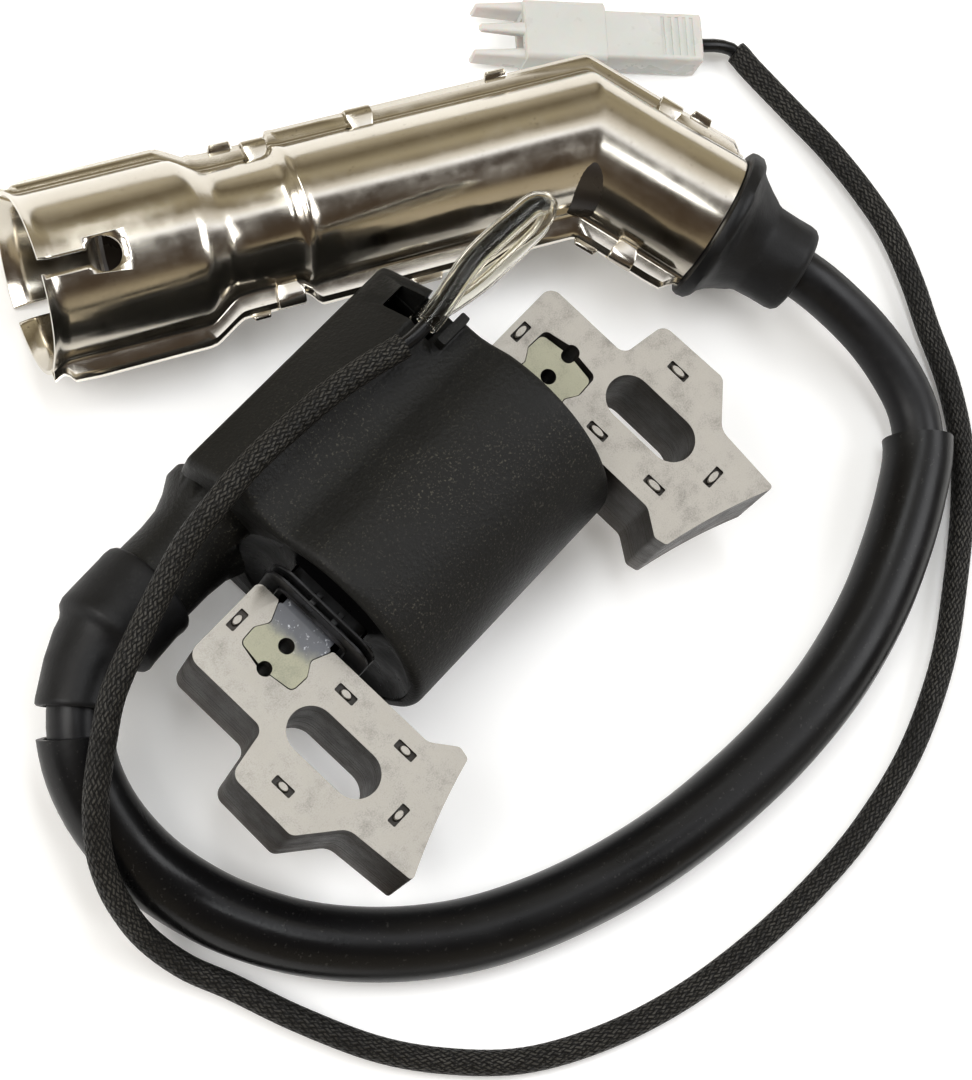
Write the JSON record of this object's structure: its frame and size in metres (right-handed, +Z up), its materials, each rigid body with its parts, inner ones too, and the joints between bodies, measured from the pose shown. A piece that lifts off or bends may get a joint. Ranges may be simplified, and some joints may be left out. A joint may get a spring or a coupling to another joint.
{
  "type": "ignition coil",
  "caption": "Small engine ignition coil: laminated two-leg core in a round potted housing, high-tension lead to an angled metal-shielded plug cap, braided stop lead with connector.",
  "frame": {"origin": "on the surface the coil lies on, under the middle of the coil and plug cap together", "axes": "+X along the core's bar from the high-tension nozzle side to the stop-lead side, +Y away from the pole faces, +Z up out of the laminations"},
  "size_m": [0.153, 0.1403, 0.0352],
  "materials": {
    "silicon_steel": "stamped electrical steel sheets, satin faces and dark varnished edges",
    "black_moulding": "fine-grained glass-filled moulding with pale specks",
    "bobbin_nylon": "smooth moulded",
    "enamelled_copper": "enamelled winding wire",
    "black_epoxy": "cast, glossy",
    "green_board": "lacquered laminate",
    "capacitor_case": "dipped, glossy",
    "resistor_body": "matt coated ceramic",
    "brass_contact": "turned or stamped brass",
    "spring_steel": "drawn wire",
    "lead_jacket": "satin cable jacket",
    "outer_tubing": "smooth semi-gloss tubing",
    "black_rubber": "moulded, matt",
    "clear_tubing": "clear soft tubing, slightly yellowed",
    "varnished_braid": "black varnished glass-fibre braid with grey flecks",
    "wire_insulation": "smooth insulation",
    "white_nylon": "translucent white nylon",
    "plated_shield": "bright plated pressed sheet steel",
    "bakelite": "moulded phenolic"
  },
  "bodies": {
    "coil": {"left_leg_stack": "silicon_steel", "right_leg_stack": "silicon_steel", "core_bar_stack": "silicon_steel", "coil_housing": "black_moulding", "primary_bobbin": "bobbin_nylon", "primary_winding": "enamelled_copper", "secondary_bobbin": "bobbin_nylon", "secondary_winding": "enamelled_copper", "potting_fill": "black_epoxy", "circuit_board": "green_board", "power_transistor": "black_epoxy", "capacitor": "capacitor_case", "resistor": "resistor_body", "diode": "black_epoxy", "hv_terminal": "brass_contact", "tower_boot": "black_rubber", "hv_lead": "lead_jacket", "outer_sleeve": "outer_tubing", "clear_sleeve": "clear_tubing", "braided_sleeve": "varnished_braid", "kill_wire": "wire_insulation", "connector_housing": "white_nylon", "kill_terminal": "brass_contact"},
    "plug_cap": {"shield_upper": "plated_shield", "shield_lower": "plated_shield", "cap_insulator": "bakelite", "cap_boot": "black_rubber", "plug_terminal": "brass_contact", "snap_ring": "spring_steel", "cap_resistor": "resistor_body", "contact_spring": "spring_steel", "corner_contact": "brass_contact", "lead_screw": "brass_contact"}
  },
  "joints": [
    {"name": "cap_swivel", "type": "hinge", "parent": "coil", "child": "plug_cap", "pos_m": [0.04538, 0.00059, 0.0122], "axis": [-0.2681, 0.9621, 0.0502], "range_deg": [0, 90]}
  ]
}
